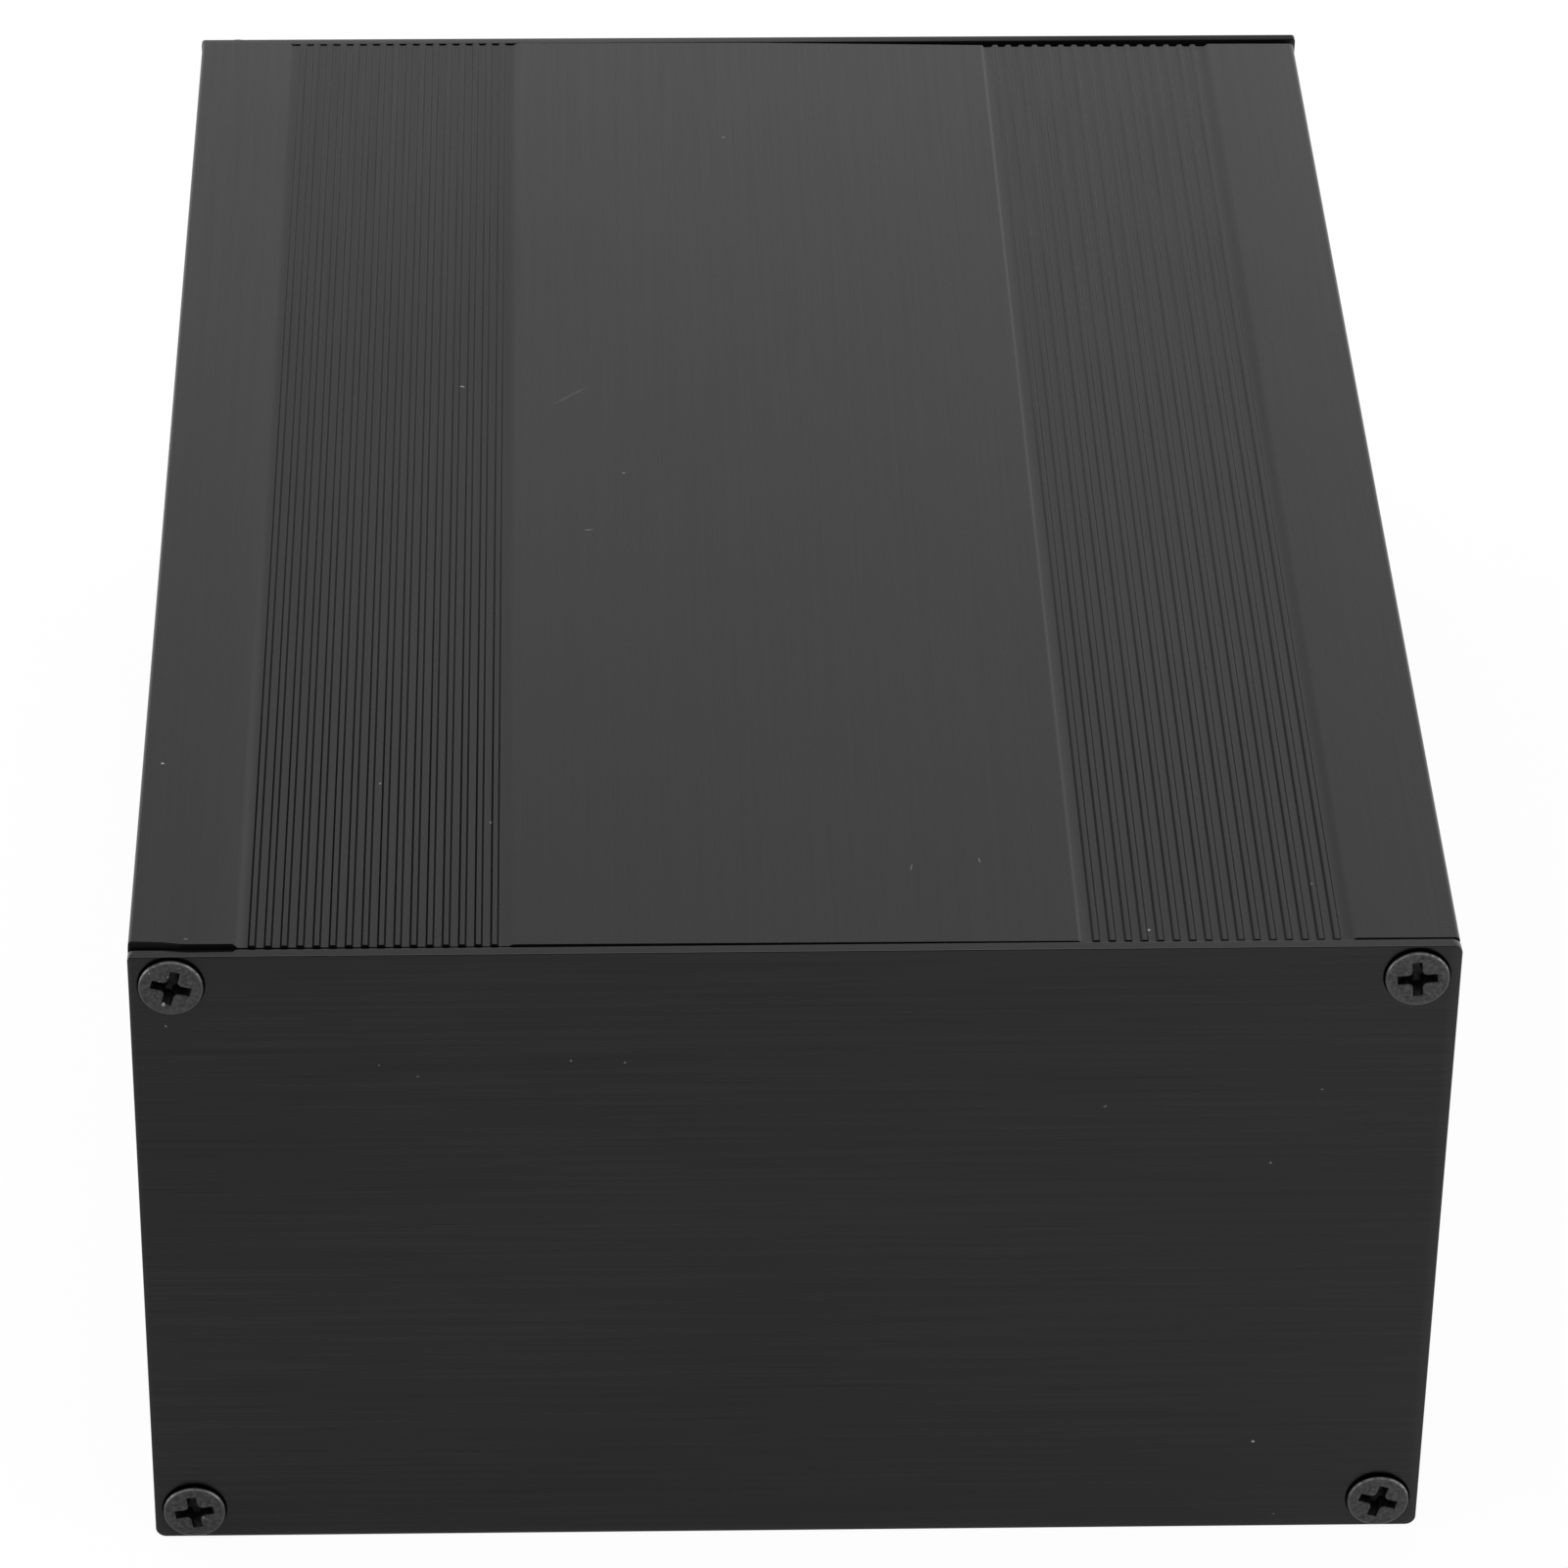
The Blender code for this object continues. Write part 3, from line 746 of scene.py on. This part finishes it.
def plate_mesh(name, half_width, half_height, thickness, holes, hole_radius, back_radius, radii, shear):
    """A plate in its own XY plane, face up at height zero, with countersunk holes."""
    shape = bmesh.new()
    rounding = []
    for step in range(PLATE_ROUND_STEPS + 1):
        angle = math.radians(90.0 * step / PLATE_ROUND_STEPS)
        inset = PLATE_EDGE_ROUND * (1.0 - math.sin(angle))
        rounding.append((inset, PLATE_EDGE_ROUND * (1.0 - math.cos(angle))))
    levels = rounding + [(inset, thickness - depth) for inset, depth in reversed(rounding)]
    rings = []
    for inset, depth in levels:
        outline = rounded_outline(half_width, half_height, radii, inset)
        outline = [sheared(point, half_width, half_height, shear) for point in outline]
        rings.append(add_ring(shape, outline, depth))
    for upper, lower in zip(rings, rings[1:]):
        bridge(shape, upper, lower, 1)
    front = ring_edges(shape, rings[0])
    back = ring_edges(shape, rings[-1])
    for centre in holes:
        tops = []
        for step in range(PLATE_ROUND_STEPS + 1):
            angle = math.radians(45.0 * step / PLATE_ROUND_STEPS)
            out = HOLE_EDGE_ROUND * (1.0 - math.sin(angle) / math.sin(math.radians(45.0)))
            depth = HOLE_EDGE_ROUND * (1.0 - math.cos(angle))
            tops.append((hole_radius + out, depth))
        levels = tops + [(back_radius, thickness)]
        hole_rings = [add_ring(shape, circle(centre, radius, HOLE_STEPS), depth) for radius, depth in levels]
        for upper, lower in zip(hole_rings, hole_rings[1:]):
            bridge(shape, lower, upper)
        front += ring_edges(shape, hole_rings[0])
        back += ring_edges(shape, hole_rings[-1])
    bmesh.ops.triangle_fill(shape, use_beauty=True, use_dissolve=False, edges=front, normal=(0.0, 0.0, 1.0))
    bmesh.ops.triangle_fill(shape, use_beauty=True, use_dissolve=False, edges=back, normal=(0.0, 0.0, -1.0))
    bmesh.ops.recalc_face_normals(shape, faces=shape.faces)
    mesh = bpy.data.meshes.new(name)
    shape.to_mesh(mesh)
    shape.free()
    smooth(mesh, SMOOTH_ANGLE)
    return mesh


def screw_boxes(end):
    """Corners of the box of each screw of an end, by place."""
    found = {}
    for place in FRONT_TURNS:
        low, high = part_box(end + "_screw_" + place)
        found[place] = (low, high)
    return found


def add_plate(end, side, radii, shear, finishes):
    """One end plate, with the shifts of its corners as its own face is seen. Side is -1 or 1."""
    node_name = end + "_panel"
    low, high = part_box(node_name)
    middle = (low + high) / 2.0
    face = low.y if side < 0 else high.y
    boxes = screw_boxes(end)
    head_radius = (boxes["top_left"][1].x - boxes["top_left"][0].x) / 2.0
    gap = COUNTERSINK_GAP * math.sqrt(2.0)
    hole_radius = head_radius - (HEAD_PROUD - HEAD_LAND) + gap
    thickness = high.y - low.y + PLATE_BACKING
    holes = []
    for box in boxes.values():
        centre = (box[0] + box[1]) / 2.0
        holes.append((-side * (centre.x - middle.x), centre.z - middle.z))
    mesh = plate_mesh(
        "fine_" + node_name,
        (high.x - low.x) / 2.0,
        (high.z - low.z) / 2.0,
        thickness,
        holes,
        hole_radius,
        hole_radius - thickness,
        radii,
        shear,
    )
    for finish in finishes:
        mesh.materials.append(finish)
    turn = Matrix.Rotation(math.radians(90.0), 4, "X")
    if side > 0:
        turn = Matrix.Rotation(math.pi, 4, "Z") @ turn
    mesh.transform(Matrix.Translation((middle.x, face, middle.z)) @ turn)
    obj = add_piece("fine_" + node_name, mesh, node_name)
    keep_faces_flat(obj)
    return obj


# Screws
def cross_outline(reach, half, corner):
    """The driver's cross, with as many points as every other ring of the screw."""
    quadrant = RING_POINTS // 4
    side_steps = quadrant // 3
    corner_steps = quadrant // 6
    points = []
    for quarter in range(4):
        cos = round(math.cos(math.radians(90.0 * quarter)))
        sin = round(math.sin(math.radians(90.0 * quarter)))
        piece = []
        end_steps = (quadrant - 2 * side_steps - corner_steps) // 2
        for step in range(end_steps):
            piece.append((reach, half * step / end_steps))
        for step in range(side_steps):
            piece.append((reach + (half + corner - reach) * step / side_steps, half))
        for step in range(corner_steps):
            angle = math.radians(270.0 - 90.0 * step / corner_steps)
            piece.append((half + corner + corner * math.cos(angle), half + corner + corner * math.sin(angle)))
        for step in range(side_steps):
            piece.append((half, half + corner + (reach - half - corner) * step / side_steps))
        while len(piece) < quadrant:
            step = len(piece) - (quadrant - end_steps)
            piece.append((half * (1.0 - step / end_steps), reach))
        points += [(x * cos - y * sin, x * sin + y * cos) for x, y in piece]
    return points


def recess_outline(depth, grown):
    """The recess at a depth below the head's face, grown outwards by its rounded lip."""
    scale = 1.0 - (1.0 - RECESS_TAPER) * depth / RECESS_DEPTH
    reach = RECESS_REACH * scale + grown
    half = RECESS_HALF_WIDTH * (1.0 + scale) / 2.0 + grown
    return cross_outline(reach, half, max(RECESS_CORNER * scale - grown, 0.00005))


def thread_radius(angle, height, top, tip):
    """Radius of the threaded shank at an angle and a height below the head."""
    turn = (height / THREAD_PITCH - angle / (2.0 * math.pi)) % 1.0
    crest = max(0.0, 1.0 - abs(turn - 0.5) / THREAD_CREST)
    fade = min(1.0, max(0.0, (top - height) / (0.5 * THREAD_PITCH)))
    outer = SHANK_RADIUS
    root = THREAD_ROOT_RADIUS + (SHANK_RADIUS - THREAD_ROOT_RADIUS) * (1.0 - fade)
    if height < tip + SCREW_TIP_LENGTH:
        share = (height - tip) / SCREW_TIP_LENGTH
        outer = SCREW_TIP_RADIUS + (SHANK_RADIUS - SCREW_TIP_RADIUS) * share
        root = min(root, outer)
    return root + (outer - root) * crest


def screw_mesh(name, head_radius, length, finishes):
    """A countersunk cross-recess screw, head up, with the middle of its face at the origin.

    The slots of its faces are 0 for the body, 1 for the recess and 2 for the rim of the head.
    """
    shape = bmesh.new()
    rings = []
    slots = []

    def add(points, depth, slot):
        rings.append(add_ring(shape, points, depth))
        slots.append(slot)

    tip_point = shape.verts.new((0.0, 0.0, -RECESS_DEPTH * RECESS_TIP))
    for level in RECESS_LEVELS:
        depth = RECESS_DEPTH * level
        add(recess_outline(depth, 0.0), depth, 1)
    for step in range(4):
        angle = math.radians(90.0 * step / 3.0)
        grown = RECESS_LIP * (1.0 - math.cos(angle))
        depth = RECESS_LIP * (1.0 - math.sin(angle))
        add(recess_outline(0.0, grown), depth, 1 if step == 0 else 0)
    lip = recess_outline(0.0, RECESS_LIP)
    rim_start = head_radius - HEAD_ROUND
    for share in FACE_RINGS:
        points = []
        for index, (x, y) in enumerate(lip):
            bearing = 2.0 * math.pi * index / RING_POINTS
            across = x + (rim_start * math.cos(bearing) - x) * share
            along = y + (rim_start * math.sin(bearing) - y) * share
            points.append((across, along))
        add(points, 0.0, 0)
    for step in range(7):
        angle = math.radians(90.0 * step / 6.0)
        radius = rim_start + HEAD_ROUND * math.sin(angle)
        depth = HEAD_ROUND * (1.0 - math.cos(angle))
        add(circle((0.0, 0.0), radius, RING_POINTS), depth, 0 if step == 0 else 2)
    add(circle((0.0, 0.0), head_radius, RING_POINTS), HEAD_LAND, 2)
    cone_end = HEAD_LAND + head_radius - SHANK_RADIUS
    add(circle((0.0, 0.0), SHANK_RADIUS, RING_POINTS), cone_end, 0)
    steps = round((length - cone_end) / THREAD_PITCH * 10)
    for step in range(1, steps + 1):
        depth = cone_end + (length - cone_end) * step / steps
        points = []
        for index in range(RING_POINTS):
            bearing = 2.0 * math.pi * index / RING_POINTS
            radius = thread_radius(bearing, -depth, -cone_end, -length)
            points.append((radius * math.cos(bearing), radius * math.sin(bearing)))
        add(points, depth, 0)
    for inner, outer, slot in zip(rings, rings[1:], slots[1:]):
        bridge(shape, inner, outer, slot)
    for index in range(RING_POINTS):
        face = shape.faces.new((tip_point, rings[0][index], rings[0][(index + 1) % RING_POINTS]))
        face.material_index = 1
    shape.faces.new(list(reversed(rings[-1])))
    bmesh.ops.recalc_face_normals(shape, faces=shape.faces)
    mesh = bpy.data.meshes.new(name)
    shape.to_mesh(mesh)
    shape.free()
    smooth(mesh, 40.0)
    for finish in finishes:
        mesh.materials.append(finish)
    return mesh


def add_screws(end, side, turns, finishes):
    """The four screws of one plate, where the CAD has them."""
    for place, (low, high) in screw_boxes(end).items():
        node = end + "_screw_" + place
        mesh = screw_mesh("fine_" + node, (high.x - low.x) / 2.0, high.y - low.y, finishes)
        centre = (low + high) / 2.0
        face = low.y if side < 0 else high.y
        facing = Matrix.Rotation(math.radians(-90.0 * side), 4, "X")
        turn = Matrix.Rotation(math.radians(-side * turns[place]), 4, "Y")
        mesh.transform(Matrix.Translation((centre.x, face, centre.z)) @ turn @ facing)
        add_piece("fine_" + node, mesh, node)


# Stage
def mirrored_share(tree):
    """One for what the camera sees directly, mirrored or through glass, and nothing otherwise."""
    path = add_node(tree, "ShaderNodeLightPath")
    seen = larger(tree, path.outputs["Is Camera Ray"], path.outputs["Is Glossy Ray"])
    return larger(tree, seen, path.outputs["Is Transmission Ray"])


def add_floor():
    """A pale floor, white to the camera, that keeps the case's shadow, more so in reflections."""
    shape = bmesh.new()
    bmesh.ops.create_circle(shape, cap_ends=True, cap_tris=True, radius=FLOOR_RADIUS, segments=FLOOR_SIDES)
    bmesh.ops.translate(shape, verts=shape.verts, vec=(0.0, 0.0, -FLOOR_DROP))
    mesh = bpy.data.meshes.new("floor")
    shape.to_mesh(mesh)
    shape.free()
    material = bpy.data.materials.new("pale_floor")
    material.use_nodes = True
    tree = material.node_tree
    tree.nodes.clear()
    matt = add_node(tree, "ShaderNodeBsdfDiffuse")
    matt.inputs["Color"].default_value = (FLOOR_LEVEL, FLOOR_LEVEL, FLOOR_LEVEL, 1.0)
    glow = add_node(tree, "ShaderNodeEmission")
    glow.inputs["Color"].default_value = (1.0, 1.0, 1.0, 1.0)
    path = add_node(tree, "ShaderNodeLightPath")
    where = add_node(tree, "ShaderNodeTexCoord").outputs["Object"]
    drift = ramp(tree, parts_of(tree, where)[0], *FLOOR_DRIFT)
    mirrored = times(tree, path.outputs["Is Glossy Ray"], drift)
    feed(tree, glow.inputs["Strength"], plus(tree, mirrored, 1.0))
    loss = times(tree, path.outputs["Is Glossy Ray"], FLOOR_GLOW_LOSS)
    mix = add_node(tree, "ShaderNodeMixShader")
    feed(tree, mix.inputs[0], minus(tree, times(tree, mirrored_share(tree), FLOOR_GLOW), loss))
    feed(tree, mix.inputs[1], matt.outputs[0])
    feed(tree, mix.inputs[2], glow.outputs[0])
    output = add_node(tree, "ShaderNodeOutputMaterial")
    feed(tree, output.inputs["Surface"], mix.outputs[0])
    mesh.materials.append(material)
    floor = bpy.data.objects.new("floor", mesh)
    bpy.context.scene.collection.objects.link(floor)


def add_world():
    """A light tent: white to the camera and in reflections, brighter low down behind the case and
    on the right, and darker at the opening that the camera looks through."""
    world = bpy.data.worlds.new("light_tent")
    world.use_nodes = True
    tree = world.node_tree
    background = tree.nodes["Background"]
    background.inputs["Color"].default_value = (1.0, 1.0, 1.0, 1.0)
    direction = add_node(tree, "ShaderNodeTexCoord").outputs["Generated"]
    across, along, up = parts_of(tree, direction)
    wall = minus(tree, TENT_LEVEL, times(tree, up, TENT_FALL))
    wall = plus(tree, wall, ramp(tree, up, *TENT_LOW))
    lean = times(tree, minus(tree, across, TENT_MIDDLE), ramp(tree, up, *TENT_LEAN))
    wall = plus(tree, wall, lean)
    wall = times(tree, wall, ramp(tree, along, *TENT_OPENING))
    seen = mirrored_share(tree)
    mirrored = times(tree, seen, wall)
    unseen = times(tree, minus(tree, 1.0, seen), TENT_UNSEEN)
    feed(tree, background.inputs["Strength"], plus(tree, mirrored, unseen))
    bpy.context.scene.world = world


def add_softbox(name, place, target, size, power):
    """A soft lamp that faces a point."""
    light = bpy.data.lights.new(name, "AREA")
    light.shape = "RECTANGLE"
    light.size, light.size_y = size
    light.energy = power
    obj = bpy.data.objects.new(name, light)
    obj.location = place
    obj.rotation_euler = (Vector(target) - Vector(place)).to_track_quat("-Z", "Y").to_euler()
    bpy.context.scene.collection.objects.link(obj)


def add_camera():
    """The camera, where the photograph was taken from."""
    camera = bpy.data.cameras.new("camera")
    camera.sensor_width = SENSOR_WIDTH
    camera.lens = CAMERA_LENS
    camera.clip_start = 0.01
    camera.clip_end = 50.0
    camera.dof.use_dof = False
    obj = bpy.data.objects.new("camera", camera)
    level = Euler((math.radians(90.0 + CAMERA_PITCH), 0.0, math.radians(-CAMERA_TURN))).to_matrix()
    turn = level @ Matrix.Rotation(math.radians(CAMERA_ROLL), 3, "Z")
    obj.matrix_world = Matrix.Translation(CAMERA_PLACE) @ turn.to_4x4()
    bpy.context.scene.collection.objects.link(obj)
    bpy.context.scene.camera = obj


def dress():
    """Build every piece, the floor, the lights and the camera."""
    shell_finishes = (extrusion_finish(), cut_end_finish(), flank_finish())
    plate = plate_finish()
    front_edge = plate_edge_finish("black_plate_edge", 0.33, 0.33)
    # Painted shade: the rear plate's edges lose their sheen towards the right
    rear_edge = plate_edge_finish("rear_plate_edge_painted_shade", 0.33, 0.06)
    screw_finishes = (screw_finish(), recess_finish(), screw_rim_finish())
    add_shell("lower_shell", 0.0, shell_finishes, False)
    add_shell("upper_shell", UPPER_SHELL_TILT, shell_finishes, True)
    add_plate("front", -1, FRONT_RADII, FRONT_SHEAR, (plate, front_edge))
    add_plate("rear", 1, REAR_RADII, REAR_SHEAR, (plate, rear_edge))
    add_screws("front", -1, FRONT_TURNS, screw_finishes)
    add_screws("rear", 1, REAR_TURNS, screw_finishes)
    add_floor()
    add_world()
    add_softbox("overhead", LAMP_PLACE, LAMP_TARGET, LAMP_SIZE, LAMP_POWER)
    add_camera()


dress()
bpy.context.scene.view_settings.view_transform = "Standard"
